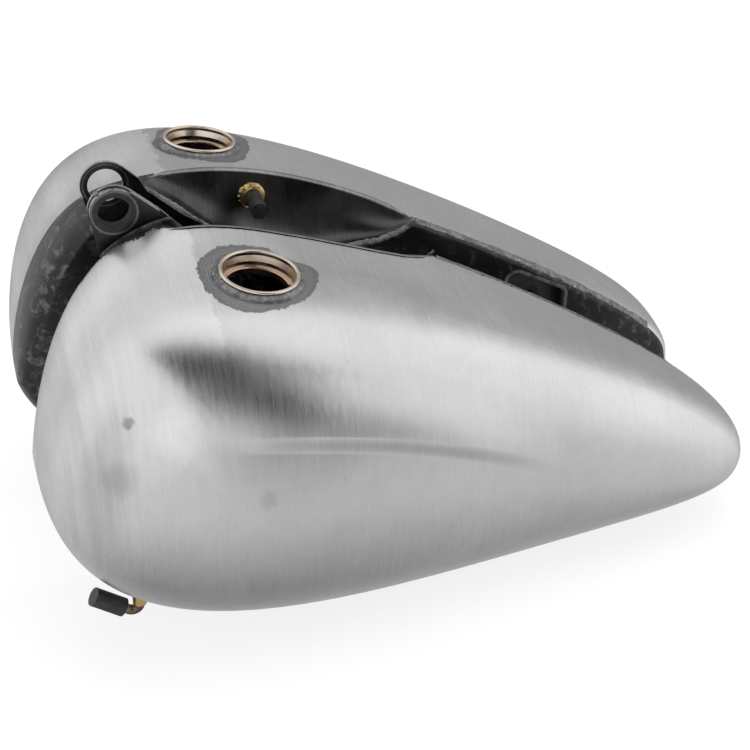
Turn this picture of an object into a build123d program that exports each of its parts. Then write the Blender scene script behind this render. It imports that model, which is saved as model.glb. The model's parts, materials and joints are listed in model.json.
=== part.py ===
from build123d import *
import os
from math import comb, cos, radians, sin, tan

# A split motorcycle fuel tank: a left and a right tank of welded sheet steel,
# with a tunnel between them for the frame's backbone.
# Millimetres. +X runs to the tail, +Y to the right of the motorcycle, +Z up.
# The right tank is built first, in stations measured from its nose (x = 0)
# and from a datum level (z = 0). The left tank is its mirror image, apart
# from the front mounts. place() then puts the origin on the floor, under
# the middle of the pair.

# ---------------------------------------------------------------- driving dimensions
TANK_LENGTH = 580.0
SHEET = 1.5                      # sheet steel of the shells
NOSE_HEIGHT = 79.0               # of the foremost point, above the datum
TUNNEL_HALF = 44.5               # half the tunnel's width at the datum
TUNNEL_LEAN = 0.09               # the walls lean together, mm per mm of height

# Control points of the outlines, (x, z): both run from the nose to the tail
TOP_LINE = [(0, NOSE_HEIGHT), (0, 181), (94, 452), (200, 229), (628, 62), (580, 31), (580, 0)]
BOTTOM_LINE = [(0, NOSE_HEIGHT), (0, 28), (88, -100), (326, -25), (390, -36), (580, -32), (580, 0)]
# Control values from nose to tail
BULGE = [38, 265, 181, 221, 29, 183, 14]    # how far the side stands out from the tunnel wall
WIDEST = [0.49, 0.51]                       # height of the widest line, as a share of the section
CROWN = [0, -41, -33, 39, 0]                # rise of the top's outer shoulder
BELLY = [0, 34, 39, 22, 0]                  # fall of the underside's outer shoulder
CORNER = [0.75, 0.12, 0.06, 0.5]            # share of each shoulder taken by the inner corner
SHOULDER_REACH = 0.67                       # fullness of the four quarters of a section
TOP_FULLNESS = 1.1
BOTTOM_FULLNESS = 0.59
BELLY_REACH = 0.645
WALL_SHARE = 0.93                           # the flat wall's outline, as a share of the tank's
WALL_CENTRE = (300, 100)

# Seam between the inner and the outer pressing, (x, y). From the nose it runs
# to the front of the dash recess above, and tapers in to the wall below.
NOSE_SEAM = [(-10, 82), (34, 80), (62, 74), (92, 60), (124, 51)]
BELLY_SEAM = [(-10, 82), (40, 82), (220, 52)]
SEAM_LEVEL = 62.0                # where the two meet, round the nose
SEAM_SET_IN = 4.0                # of the rest of the seam, from the tunnel wall
BEAD_HEIGHT = 1.4                # of the weld bead along it
BEAD_WIDTH = 7.0

# Dash recess: x, height of its floor at the wall, lip's y, lip's height
RECESS_STATIONS = [(110, 258, 45, 262), (128, 243, 46, 259), (150, 224, 48, 258),
                   (175, 203.5, 51, 254), (205, 189, 55, 247), (240, 180, 56.5, 235),
                   (275, 178.5, 55, 220), (300, 180, 50.5, 209), (316, 185, 43, 202),
                   (329, 191, 34, 196)]
RECESS_TOP = 320.0               # the recess is open upwards

# Filler neck, about its own axis
NECK_X = 172.0
NECK_OUT = 93.0                  # from the tunnel wall
RIM_RADIUS = 30.0                # outside of the rolled rim
RIM_BEAD = 1.5                   # radius of the rolled edge
RIM_HEIGHT = 4.0                 # above the skin
THROAT_RADIUS = 25.6             # bore that the cap's gasket cup enters
THROAT_DEPTH = 14.0
SEAT_RADIUS = 25.1               # below the gasket cup, where the cam ledge is pressed in
LEDGE_RADIUS = 23.2              # opening of the cam ledge
CAM_NOTCH_WIDTH = 9.0
CAM_NOTCH_ANGLE = 12.0           # degrees

# Front mounts: one through bolt crosses both tanks on this axis
MOUNT_X = 82.0
MOUNT_Z = 264.0
MOUNT_PLATE = 3.0                # plate thickness
MOUNT_EYE_RADIUS = 19.3
TAB_HOLE_RADIUS = 13.6
TAB_OUTLINE = [(64, 255), (70, 234), (110, 226), (140, 209), (160, 202), (166, 208),
               (154, 221.5), (141, 230), (113.5, 255), (108, 266), (95.5, 278.3)]
BRACKET_OUTLINE = [(64, 258), (69, 226), (100, 222), (138, 236), (116, 260), (95.5, 278.3)]
SLEEVE_RADIUS = 18.4
SLEEVE_BORE_RADIUS = 12.4
SLEEVE_LENGTH = 10.0
SLEEVE_STANDS_OUT = 6.0          # from the plate, on the side away from the tunnel
FLANGE_WIDTH = 5.0
MOUNT_WELD = 3.7                 # height of the weld that fills the wedge behind a plate
MOUNT_WELD_WIDTH = 6.0
TACK_RADIUS = 2.2
TACK_ANGLES = [18, 128, 238]     # degrees round the sleeve

# Vent and crossover fittings and their caps
VENT_X = 202.0
VENT_Z = 223.0
VENT_FLANGE_RADIUS = 10.5
VENT_NIPPLE_LENGTH = 18.0
VENT_CAP_RADIUS = 6.8
VENT_CAP_LENGTH = 24.0
HOSE_BORE_RADIUS = 2.9
HOSE_TUBE_RADIUS = 4.0
CROSSOVER_X = 64.0
CROSSOVER_OUT = 91.5
CROSSOVER_RISE = 35.0            # degrees, of the tube's end towards the nose
CROSSOVER_DROP = 10.5            # straight run below the skin
CROSSOVER_BEND = 6.0             # radius of the bend
CROSSOVER_NIPPLE = 25.0          # straight end that the cap covers
BRAZE_RADIUS = 5.6
CROSSOVER_CAP_RADIUS = 7.5
CROSSOVER_CAP_LENGTH = 27.0
CAP_GAP = 4.5                    # bare tube between the bend and the cap
CAP_END = 3.0                    # closed end of a cap

# Rear mount pocket in the tunnel wall
POCKET_X = 443.0
POCKET_LENGTH = 50.0
POCKET_TOP = 118.0               # at POCKET_X
POCKET_SLOPE = 29.0              # degrees, along the tank's top line
POCKET_HEIGHT = 44.0
POCKET_DEPTH = 16.0
POCKET_CORNER = 6.0
RIB_WIDTH = 3.0                  # weld bead round the pocket's mouth
RIB_HEIGHT = 1.2
BOSS_RADIUS = 8.0
BOSS_LENGTH = 10.0
REAR_STUD_RADIUS = 3.4           # tapping bore of an M8 thread

# Fuel tap boss
TAP_X = 262.0
TAP_OUT = 42.0
TAP_BOSS_RADIUS = 16.0
TAP_BOSS_LENGTH = 12.0
TAP_BORE_RADIUS = 10.3           # tapping bore of an M22 thread

CLEAR = 0.05                     # running clearance of a pull-off cap


# ---------------------------------------------------------------- polynomials in Bezier form
class Poly(list):
    """A polynomial on 0..1, held as its Bezier control values."""

    def raised(self, degree):
        values = list(self)
        while len(values) <= degree:
            n = len(values)
            middle = [values[i - 1] * i / n + values[i] * (n - i) / n for i in range(1, n)]
            values = [values[0]] + middle + [values[-1]]
        return Poly(values)

    def __add__(self, other):
        degree = max(len(self), len(other)) - 1
        return Poly(a + b for a, b in zip(self.raised(degree), other.raised(degree)))

    def __sub__(self, other):
        return self + other * -1

    def __mul__(self, other):
        if not isinstance(other, Poly):
            return Poly(value * other for value in self)
        n, m = len(self) - 1, len(other) - 1
        product = []
        for k in range(n + m + 1):
            span = range(max(0, k - m), min(n, k) + 1)
            total = sum(comb(n, i) * comb(m, k - i) * self[i] * other[k - i] for i in span)
            product.append(total / comb(n + m, k))
        return Poly(product)


class Row:
    """One row of a patch's net: a curve (x, out, z) along the tank."""

    DEGREE = 10

    def __init__(self, x, out, z):
        self.x, self.out, self.z = x, out, z

    def __add__(self, other):
        return Row(self.x + other.x, self.out + other.out, self.z + other.z)

    def __sub__(self, other):
        return self + other * -1

    def __mul__(self, scale):
        return Row(self.x * scale, self.out * scale, self.z * scale)

    def points(self):
        rows = zip(self.x.raised(Row.DEGREE), self.out.raised(Row.DEGREE), self.z.raised(Row.DEGREE))
        return [Vector(x, wall_y(z) + out, z) for x, out, z in rows]


def wall_y(z):
    """The tunnel wall's y at a height."""
    return TUNNEL_HALF - TUNNEL_LEAN * z


# ---------------------------------------------------------------- the tank's body
def body_nets():
    """Nets of the four patches that wrap a tank from the wall's top edge to its bottom edge."""
    zero = Poly([0.0])
    one = Poly([1.0])
    top = Row(Poly(x for x, _ in TOP_LINE), zero, Poly(z for _, z in TOP_LINE))
    bottom = Row(Poly(x for x, _ in BOTTOM_LINE), zero, Poly(z for _, z in BOTTOM_LINE))
    centre = Row(Poly([WALL_CENTRE[0]]), zero, Poly([WALL_CENTRE[1]]))
    widest = Poly(WIDEST)
    corner = Poly(CORNER)
    height = top - bottom
    shoulder = Poly(BULGE) * SHOULDER_REACH
    top_arm = Row(zero, shoulder, Poly(CROWN))
    bottom_arm = Row(zero, shoulder, Poly(BELLY) * -1)
    side = bottom + height * widest + Row(zero, Poly(BULGE), zero)
    wall_top = centre + (top - centre) * WALL_SHARE
    wall_bottom = centre + (bottom - centre) * WALL_SHARE
    skin_top = top + top_arm * corner
    skin_bottom = bottom + bottom_arm * corner
    patches = [
        [wall_top, top, skin_top],
        [skin_top, top + top_arm, side + height * (one - widest) * TOP_FULLNESS, side],
        [side, side - height * widest * BOTTOM_FULLNESS,
         bottom + bottom_arm * (BELLY_REACH / SHOULDER_REACH), skin_bottom],
        [skin_bottom, bottom, wall_bottom],
    ]
    return [[row.points() for row in patch] for patch in patches]


def blend(points, t):
    """De Casteljau's point and direction on a Bezier curve."""
    points = list(points)
    while len(points) > 2:
        points = [a * (1 - t) + b * t for a, b in zip(points, points[1:])]
    return points[0] * (1 - t) + points[1] * t, points[1] - points[0]


def outward(net, i, j):
    """The patch's outward normal at a control point."""
    last = len(net[0]) - 1
    if i == 0:
        return Vector(-1, 0, 0)
    if i == last:
        return Vector(1, 0, 0)
    u = i / last
    v = j / (len(net) - 1)
    around = blend([blend(row, u)[0] for row in net], v)[1]
    column = [blend([row[k] for row in net], v)[0] for k in range(last + 1)]
    return blend(column, u)[1].cross(around).normalized()


def inset(nets, depth):
    """The nets moved inwards, so that they wrap the tank's cavity."""
    to_wall = Vector(0, -1, -TUNNEL_LEAN).normalized()
    moved = []
    for net in nets:
        rows = []
        for j, row in enumerate(net):
            on_wall = row is nets[0][0] or row is nets[-1][-1]
            normals = [to_wall if on_wall else outward(net, i, j) for i in range(len(row))]
            rows.append([point - normal * depth for point, normal in zip(row, normals)])
        moved.append(rows)
    return moved


def closed_body(nets):
    """A solid from the four patches and the flat wall that closes them."""
    faces = [Face.make_bezier_surface(net) for net in nets]
    outline = Wire([Edge.make_bezier(*nets[0][0]), Edge.make_bezier(*nets[-1][-1])])
    return Solid(Shell(faces + [Face(outline)]))


def recess_tool(grow):
    """The dash recess as a solid, grown by a thickness."""
    sections = []
    last = len(RECESS_STATIONS) - 1
    for i, (x, floor, lip, crest) in enumerate(RECESS_STATIONS):
        shift = {0: -grow, last: grow}.get(i, 0.0)
        low = floor - grow
        wide = lip + grow
        start = wall_y(floor)
        reach = wide - start
        corners = [(-12, RECESS_TOP), (-12, low), (start, low)]
        dish = [(start, low), (start + 0.75 * reach, low), (wide - 3, low + 0.45 * (crest - low)),
                (wide, crest)]
        spots = [Vector(x + shift, y, z) for y, z in corners]
        bend = [Vector(x + shift, y, z) for y, z in dish]
        over = Vector(x + shift, wide, RECESS_TOP)
        edges = [Edge.make_line(spots[0], spots[1]), Edge.make_line(spots[1], spots[2]),
                 Edge.make_bezier(*bend), Edge.make_line(bend[-1], over),
                 Edge.make_line(over, spots[0])]
        sections.append(Wire(edges))
    return Solid.make_loft(sections)


# ---------------------------------------------------------------- regions of the inner pressing
INSIDE = -100.0                  # y of the far side of every cutting tool
BELOW_ALL = -100.0               # z of its underside


def prism(outline, low, high):
    """A plan outline raised between two heights."""
    return extrude(Pos(0, 0, low) * Face(outline), high - low, dir=(0, 0, 1))


def nose_region():
    """The inner pressing's share of the upper nose."""
    (x0, y0), (x1, y1) = NOSE_SEAM[0], NOSE_SEAM[-1]
    seam = Edge.make_spline([(x, y, 0) for x, y in NOSE_SEAM])
    rest = Edge.make_line((x1, y1, 0), (x1, INSIDE, 0))
    inner = Edge.make_line((x1, INSIDE, 0), (x0, INSIDE, 0))
    front = Edge.make_line((x0, INSIDE, 0), (x0, y0, 0))
    return prism(Wire([seam, rest, inner, front]), SEAM_LEVEL, RECESS_TOP)


def belly_region():
    """The inner pressing's share of the lower nose and the belly."""
    corners = BELLY_SEAM + [(BELLY_SEAM[-1][0], INSIDE), (BELLY_SEAM[0][0], INSIDE)]
    outline = Wire.make_polygon([(x, y, 0) for x, y in corners])
    return prism(outline, BELOW_ALL, SEAM_LEVEL)


def wall_slab(near, far, start=-60.0, stop=TANK_LENGTH + 60.0):
    """All that lies between two distances outwards of the tunnel wall."""
    low, high = BELOW_ALL, RECESS_TOP
    spots = [(wall_y(low) + near, low), (wall_y(low) + far, low),
             (wall_y(high) + far, high), (wall_y(high) + near, high)]
    outline = Wire.make_polygon([(start, y, z) for y, z in spots])
    return extrude(Face(outline), stop - start, dir=(1, 0, 0))


# ---------------------------------------------------------------- small shapes
def tube(radius, bore, length, start=0.0):
    """A tube along +Z from a height."""
    ring = Circle(radius) - Circle(bore) if bore else Circle(radius)
    return extrude(Pos(0, 0, start) * ring, length)


def revolved(points):
    """A solid turned about Z from a closed outline of (radius, z) points."""
    outline = Wire.make_polygon([(r, 0, z) for r, z in points])
    return revolve(Face(outline), Axis.Z)


def side_plate(outline, y, thickness):
    """A plate of an (x, z) outline, standing across Y."""
    face = Face(Wire.make_polygon([(x, y, z) for x, z in outline]))
    return extrude(face, thickness, dir=(0, 1, 0))


def across(radius, length, x, y, z):
    """A cylinder along +Y from a spot."""
    return extrude(facing((x, y, z), (0, 1, 0)) * Circle(radius), length)


def facing(origin, direction):
    """The location of a spot whose Z axis points along a direction."""
    return Plane(origin=origin, z_dir=Vector(*direction)).location


def skin_frame(body, x, y, above=True):
    """The location of the spot of skin straight above or below (x, y), with Z outwards."""
    height = 500.0 if above else -500.0
    line = Axis((x, y, height), (0, 0, -1 if above else 1))
    hits = body.find_intersection_points(line)
    point, normal = min(hits, key=lambda hit: abs(hit[0].Z - height))
    if (normal.Z > 0) != above:
        normal = normal * -1
    return Plane(origin=point, x_dir=Vector(1, 0, 0), z_dir=normal).location


def largest(shape):
    """The largest solid of a shape."""
    return max(shape.solids(), key=lambda solid: solid.volume)


# ---------------------------------------------------------------- pressings and seams
def pressings(nets):
    """The body's outline and the three pressings of the right tank."""
    plain = closed_body(nets)
    recess, grown = recess_tool(0.0), recess_tool(SHEET)
    hollow = plain - closed_body(inset(nets, SHEET))
    nose, belly, slab = nose_region(), belly_region(), wall_slab(INSIDE, SEAM_SET_IN)
    outer = hollow - grown - nose - belly - slab
    inner = (hollow & nose) + ((hollow - nose) & belly) + ((hollow - nose - belly) & slab)
    pan = (plain & grown) - recess
    return plain, outer, inner - grown, pan


def seam_beads(nets, plain):
    """The raised weld beads behind the dash recess, along the top and the bottom corner."""
    skin = closed_body(inset(nets, -BEAD_HEIGHT)) - plain
    near, far = SEAM_SET_IN - BEAD_WIDTH / 2, SEAM_SET_IN + BEAD_WIDTH / 2
    top_start, bottom_start = RECESS_STATIONS[-1][0] + 4.0, BELLY_SEAM[-1][0]
    tail = TANK_LENGTH - 26.0
    middle = TOP_LINE[-1][1] + 10.0
    upper = wall_slab(near, far, top_start, tail) & Pos(0, 0, middle + 250) * Box(3000, 3000, 500)
    lower = wall_slab(near, far, bottom_start, tail) & Pos(0, 0, middle - 250) * Box(3000, 3000, 500)
    return largest(skin & upper), largest(skin & lower)


# ---------------------------------------------------------------- filler neck
def neck_pieces():
    """Neck, cam ledge and weld, turned about Z with the skin at z = 0."""
    wall = RIM_RADIUS - 2 * RIM_BEAD
    bead = RIM_HEIGHT - RIM_BEAD
    profile = [(SEAT_RADIUS, -THROAT_DEPTH), (SEAT_RADIUS, -8.0), (THROAT_RADIUS, -8.0),
               (THROAT_RADIUS, -4.0), (wall, 0.5), (wall, bead)]
    steps = 8
    for i in range(1, steps):
        angle = radians(180.0 * i / steps)
        spot = (wall + RIM_BEAD - RIM_BEAD * cos(angle), bead + RIM_BEAD * sin(angle))
        profile.append(spot)
    profile += [(RIM_RADIUS, bead), (RIM_RADIUS - 0.8, bead - 1.0), (RIM_RADIUS - 0.8, 0.6),
                (RIM_RADIUS, 0.2), (RIM_RADIUS, -4.0), (wall + 0.4, -6.0),
                (wall + 0.4, -THROAT_DEPTH)]
    ledge = [(SEAT_RADIUS, -8.0), (SEAT_RADIUS, -9.5), (LEDGE_RADIUS + 1.3, -9.5),
             (LEDGE_RADIUS + 1.3, -13.0), (LEDGE_RADIUS, -13.0), (LEDGE_RADIUS, -8.7),
             (LEDGE_RADIUS + 0.7, -8.0)]
    weld = [(RIM_RADIUS, -3.0), (RIM_RADIUS, 1.6), (RIM_RADIUS + 1.6, 1.3),
            (RIM_RADIUS + 4.0, 0.2), (RIM_RADIUS + 4.6, -3.0)]
    cam_slot = Box(2 * SEAT_RADIUS - 1.4, CAM_NOTCH_WIDTH, 20.0)
    middle = Cylinder(LEDGE_RADIUS - 2.0, 20.0)
    notches = Rot(0, 0, CAM_NOTCH_ANGLE) * Pos(0, 0, -10) * (cam_slot - middle)
    return revolved(profile), revolved(ledge) - notches, revolved(weld)


# ---------------------------------------------------------------- vent and crossover
def pull_off_cap(radius, length, bore):
    """A vinyl cap along +Z: closed at the far end, with its mouth at z = 0."""
    cap = tube(radius, bore, length)
    end = tube(radius, 0, CAP_END, length - CAP_END)
    return cap + end


def vent_fitting():
    """Brass flange and nipple along +Z from the recess wall at z = 0, and its cap."""
    flange = revolved([(HOSE_BORE_RADIUS, -4.0), (VENT_FLANGE_RADIUS, -4.0),
                       (VENT_FLANGE_RADIUS, 1.4), (VENT_FLANGE_RADIUS - 1.2, 2.4),
                       (VENT_FLANGE_RADIUS - 3.2, 3.2), (HOSE_TUBE_RADIUS, 3.6),
                       (HOSE_BORE_RADIUS, 3.6)])
    nipple = tube(HOSE_TUBE_RADIUS, HOSE_BORE_RADIUS, VENT_NIPPLE_LENGTH, 3.6)
    return flange + nipple


def crossover():
    """The bent nipple under the nose, its braze collar, and the cap's location."""
    drop = CROSSOVER_DROP
    turn = radians(90.0 + CROSSOVER_RISE)
    ahead, rise = -cos(radians(CROSSOVER_RISE)), sin(radians(CROSSOVER_RISE))
    bend = CROSSOVER_BEND
    low = Vector(0, 0, -drop)
    centre = low + Vector(-bend, 0, 0)
    after = centre + Vector(bend * cos(turn), 0, -bend * sin(turn))
    middle = centre + Vector(bend * cos(turn / 2), 0, -bend * sin(turn / 2))
    end = after + Vector(ahead, 0, rise) * CROSSOVER_NIPPLE
    path = Wire([Edge.make_line((0, 0, 10.0), low),
                 Edge.make_three_point_arc(low, middle, after),
                 Edge.make_line(after, end)])
    start = Plane(origin=(0, 0, 10.0), z_dir=(0, 0, -1))
    pipe = sweep(start * (Circle(HOSE_TUBE_RADIUS) - Circle(HOSE_BORE_RADIUS)), path=path)
    cap_start = after + Vector(ahead, 0, rise) * CAP_GAP
    return pipe, cap_start, Vector(ahead, 0, rise)


# ---------------------------------------------------------------- rear mount pocket
def pocket_outline(grow):
    """The pocket's outline in (x, z), a rounded slanted block, as a face across Y."""
    half, corner = POCKET_LENGTH / 2 + grow, POCKET_CORNER + grow
    slope = tan(radians(POCKET_SLOPE))
    spots = [(-half, POCKET_TOP + half * slope + grow), (half, POCKET_TOP - half * slope + grow),
             (half, POCKET_TOP - half * slope - POCKET_HEIGHT - grow),
             (-half, POCKET_TOP + half * slope - POCKET_HEIGHT - grow)]
    face = Face(Wire.make_polygon([(POCKET_X + x, 0, z) for x, z in spots]))
    return face.fillet_2d(corner, face.vertices())


# ---------------------------------------------------------------- the right tank's pieces
def right_tank(nets):
    """The pieces that both tanks have, as the right tank carries them."""
    plain, outer, inner, pan = pressings(nets)
    pieces = {}
    pieces["top_seam_weld"], pieces["bottom_seam_weld"] = seam_beads(nets, plain)

    # Filler neck, square to the skin
    neck_y = wall_y(plain.bounding_box().max.Z) + NECK_OUT
    at_neck = skin_frame(plain, NECK_X, neck_y)
    neck, ledge, weld = neck_pieces()
    hole = at_neck * Cylinder(RIM_RADIUS, 60.0)
    outer = outer - hole
    pieces["filler_neck"] = at_neck * neck
    pieces["cam_ledge"] = at_neck * ledge
    pieces["neck_weld"] = (at_neck * weld) - plain

    # Vent in the recess's outer wall, pointing into the tunnel
    at_vent = vent_location(pan)
    pan = pan - at_vent * Cylinder(VENT_FLANGE_RADIUS, 20.0)
    pieces["vent_fitting"] = at_vent * vent_fitting()
    mouth = 3.6 + CAP_GAP / 3
    pieces["vent_cap"] = at_vent * Pos(0, 0, mouth) * pull_off_cap(
        VENT_CAP_RADIUS, VENT_CAP_LENGTH, HOSE_TUBE_RADIUS + CLEAR)

    # Crossover nipple under the nose
    at_belly = skin_frame(plain, CROSSOVER_X, wall_y(0) + CROSSOVER_OUT, above=False)
    root = Pos(at_belly.position)
    pipe, cap_start, cap_axis = crossover()
    outer = outer - root * Cylinder(HOSE_TUBE_RADIUS, 60.0)
    pieces["crossover_pipe"] = root * pipe
    collar = tube(BRAZE_RADIUS, HOSE_TUBE_RADIUS, CROSSOVER_DROP + 9.0, -CROSSOVER_DROP)
    pieces["crossover_braze"] = largest(root * collar - plain)
    cap = pull_off_cap(CROSSOVER_CAP_RADIUS, CROSSOVER_CAP_LENGTH, HOSE_TUBE_RADIUS + CLEAR)
    pieces["crossover_cap"] = root * facing(cap_start, cap_axis) * cap

    # Rear mount pocket: a pan let into the wall, with a threaded stud boss in its floor
    mid = wall_y(POCKET_TOP)
    hollow = extrude(Pos(0, mid - 30.0, 0) * pocket_outline(0.0), 30.0 + POCKET_DEPTH, dir=(0, 1, 0))
    block = extrude(Pos(0, mid - 30.0, 0) * pocket_outline(SHEET), 30.0 + POCKET_DEPTH + SHEET,
                    dir=(0, 1, 0))
    inner = inner - block
    boss_z = POCKET_TOP - POCKET_HEIGHT / 2
    boss = across(BOSS_RADIUS, BOSS_LENGTH, POCKET_X, mid + POCKET_DEPTH, boss_z)
    bore = across(REAR_STUD_RADIUS, 60.0, POCKET_X, mid - 10.0, boss_z)
    pieces["rear_pocket"] = largest((plain & block) - hollow - boss)
    pieces["rear_boss"] = boss - bore
    rib = extrude(Pos(0, mid - 30.0, 0) * pocket_outline(SHEET + RIB_WIDTH), 60.0, dir=(0, 1, 0))
    proud = closed_body(inset(nets, -RIB_HEIGHT)) - plain
    pieces["pocket_weld"] = (proud & rib) - block

    pieces["outer_shell"] = outer
    pieces["inner_shell"] = inner
    pieces["dash_recess"] = pan
    return plain, pieces


def vent_location(pan):
    """Where the vent sits on the recess's outer wall, with Z into the tunnel."""
    line = Axis((VENT_X, 0.0, VENT_Z), (0, 1, 0))
    hits = pan.find_intersection_points(line)
    point = min((spot for spot, _ in hits), key=lambda spot: spot.Y)
    return facing(point, (0, -1, 0))


# ---------------------------------------------------------------- front mounts
def mount_tab(bead):
    """The right tank's flat eye, and its weld: the share of a layer on the skin behind it."""
    face_y = wall_y(MOUNT_Z) - MOUNT_PLATE / 2
    arm = side_plate(TAB_OUTLINE, face_y, MOUNT_PLATE)
    eye = across(MOUNT_EYE_RADIUS, MOUNT_PLATE, MOUNT_X, face_y, MOUNT_Z)
    hole = across(TAB_HOLE_RADIUS, 3 * MOUNT_PLATE, MOUNT_X, face_y - MOUNT_PLATE, MOUNT_Z)
    behind = side_plate(TAB_OUTLINE, face_y + MOUNT_PLATE, MOUNT_WELD_WIDTH)
    return arm + eye - hole, largest(behind & bead)


def mount_bracket(bead):
    """The left tank's bracket, sleeve, tacks and weld, built on the right, to be mirrored."""
    face_y = wall_y(MOUNT_Z) - MOUNT_PLATE / 2
    back = face_y + MOUNT_PLATE
    plate = side_plate(BRACKET_OUTLINE, face_y, MOUNT_PLATE)
    eye = across(MOUNT_EYE_RADIUS, MOUNT_PLATE, MOUNT_X, face_y, MOUNT_Z)
    start = back + SLEEVE_STANDS_OUT - SLEEVE_LENGTH
    sleeve = across(SLEEVE_RADIUS, SLEEVE_LENGTH, MOUNT_X, start, MOUNT_Z)
    bore = across(SLEEVE_BORE_RADIUS, 2 * SLEEVE_LENGTH, MOUNT_X, start - 4.0, MOUNT_Z)
    (x0, z0), (x1, z1) = BRACKET_OUTLINE[-1], BRACKET_OUTLINE[-2]
    strip = [(x0, z0), (x1, z1), (x1 - 1.6, z1 - 2.0), (x0 - 1.6, z0 - 2.0)]
    flange = side_plate(strip, back, FLANGE_WIDTH)
    bracket = plate + eye + flange - sleeve
    behind = side_plate(BRACKET_OUTLINE, back, MOUNT_WELD_WIDTH)
    weld = largest((behind & bead) - sleeve - flange)
    tacks = []
    for angle in TACK_ANGLES:
        reach = SLEEVE_RADIUS + 0.6
        x = MOUNT_X + reach * cos(radians(angle))
        z = MOUNT_Z + reach * sin(radians(angle))
        tacks.append(largest(Pos(x, back + 0.6, z) * Sphere(TACK_RADIUS) - sleeve - bracket - weld))
    return bracket - bore, sleeve - bore, Compound(children=tacks), weld


# ---------------------------------------------------------------- the fuel tap's boss
def tap_boss(plain):
    """A threaded boss under the belly and its hole, built on the right, to be mirrored."""
    spot = skin_frame(plain, TAP_X, wall_y(0) + TAP_OUT, above=False)
    boss = Pos(spot.position) * tube(TAP_BOSS_RADIUS, TAP_BORE_RADIUS, TAP_BOSS_LENGTH, -0.9)
    return boss, Pos(spot.position) * Cylinder(TAP_BOSS_RADIUS, 30.0)


# ---------------------------------------------------------------- assembly and export
def place(piece, left=False):
    """A piece in the part's frame: mirrored if it is the left tank's, and stood on the floor."""
    if left:
        piece = mirror(piece, about=Plane.XZ)
    return Pos(-reach.center().X, 0, -reach.min.Z) * piece


nets = body_nets()
plain, pieces = right_tank(nets)
reach = plain.bounding_box()
bead = closed_body(inset(nets, -MOUNT_WELD)) - plain
nodes = {}
for name, piece in pieces.items():
    nodes["right_" + name] = place(piece)
    nodes["left_" + name] = place(piece, left=True)

tab, tab_weld = mount_tab(bead)
nodes["right_mount_tab"] = place(tab)
nodes["right_mount_weld"] = place(tab_weld)
bracket, sleeve, tacks, bracket_weld = mount_bracket(bead)
nodes["left_mount_bracket"] = place(bracket, left=True)
nodes["left_mount_sleeve"] = place(sleeve, left=True)
nodes["left_sleeve_tacks"] = place(tacks, left=True)
nodes["left_mount_weld"] = place(bracket_weld, left=True)

boss, boss_hole = tap_boss(plain)
nodes["left_tap_boss"] = place(boss, left=True)
nodes["left_outer_shell"] = nodes["left_outer_shell"] - place(boss_hole, left=True)

os.makedirs("parts", exist_ok=True)
for name, piece in nodes.items():
    export_step(piece, "parts/" + name + ".step")
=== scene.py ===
import bpy
import json
import math
import numpy as np
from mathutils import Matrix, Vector
from mathutils.kdtree import KDTree


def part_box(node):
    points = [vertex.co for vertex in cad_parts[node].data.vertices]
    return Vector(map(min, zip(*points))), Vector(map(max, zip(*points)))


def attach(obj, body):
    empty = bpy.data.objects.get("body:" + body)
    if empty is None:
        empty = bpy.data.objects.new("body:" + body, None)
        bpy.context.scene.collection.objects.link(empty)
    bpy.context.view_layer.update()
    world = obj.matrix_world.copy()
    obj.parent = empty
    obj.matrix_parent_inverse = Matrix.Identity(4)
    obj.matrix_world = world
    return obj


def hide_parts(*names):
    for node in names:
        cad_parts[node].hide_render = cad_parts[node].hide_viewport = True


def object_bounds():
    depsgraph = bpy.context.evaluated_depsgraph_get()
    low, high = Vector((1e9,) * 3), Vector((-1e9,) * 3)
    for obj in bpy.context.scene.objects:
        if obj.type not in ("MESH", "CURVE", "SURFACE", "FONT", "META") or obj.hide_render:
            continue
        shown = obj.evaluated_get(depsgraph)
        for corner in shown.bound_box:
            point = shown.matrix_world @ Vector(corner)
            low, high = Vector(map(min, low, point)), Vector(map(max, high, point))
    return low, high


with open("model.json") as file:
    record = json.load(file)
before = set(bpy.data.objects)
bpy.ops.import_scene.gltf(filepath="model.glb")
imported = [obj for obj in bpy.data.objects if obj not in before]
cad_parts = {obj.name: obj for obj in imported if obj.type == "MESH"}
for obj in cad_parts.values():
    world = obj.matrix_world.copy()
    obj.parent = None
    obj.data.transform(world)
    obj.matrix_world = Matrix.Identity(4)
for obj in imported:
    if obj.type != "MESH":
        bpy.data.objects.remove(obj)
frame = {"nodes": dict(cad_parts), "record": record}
CAD_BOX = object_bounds()
NODES = frame["nodes"]
MOUNTS = {mount["name"]: mount for mount in frame["record"]["mounts"]}
MM = 0.001

# ---------------------------------------------------------------- the tank's skin
# The right tank's outline, as in the model: x from the nose, y from the middle
# plane, z from the datum level, in millimetres. Each list holds the control
# values of a Bezier curve that runs from the nose to the tail.
TUNNEL_HALF = 44.5
TUNNEL_LEAN = 0.09
TOP_LINE = [(0, 79), (0, 181), (94, 452), (200, 229), (628, 62), (580, 31), (580, 0)]
BOTTOM_LINE = [(0, 79), (0, 28), (88, -100), (326, -25), (390, -36), (580, -32), (580, 0)]
BULGE = [38, 265, 181, 221, 29, 183, 14]
WIDEST = [0.49, 0.51]
CROWN = [0, -41, -33, 39, 0]
BELLY = [0, 34, 39, 22, 0]
CORNER = [0.75, 0.12, 0.06, 0.5]
SHOULDER_REACH = 0.67
TOP_FULLNESS = 1.1
BOTTOM_FULLNESS = 0.59
BELLY_REACH = 0.645
WALL_SHARE = 0.93
WALL_CENTRE = (300, 100)
ORIGIN_X = CAD_BOX[0][0] / MM


def bezier(values, t):
    """Points on a Bezier curve whose control values may be arrays."""
    values = [np.asarray(value, float) for value in values]
    while len(values) > 1:
        values = [a * (1 - t) + b * t for a, b in zip(values, values[1:])]
    return values[0]


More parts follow.
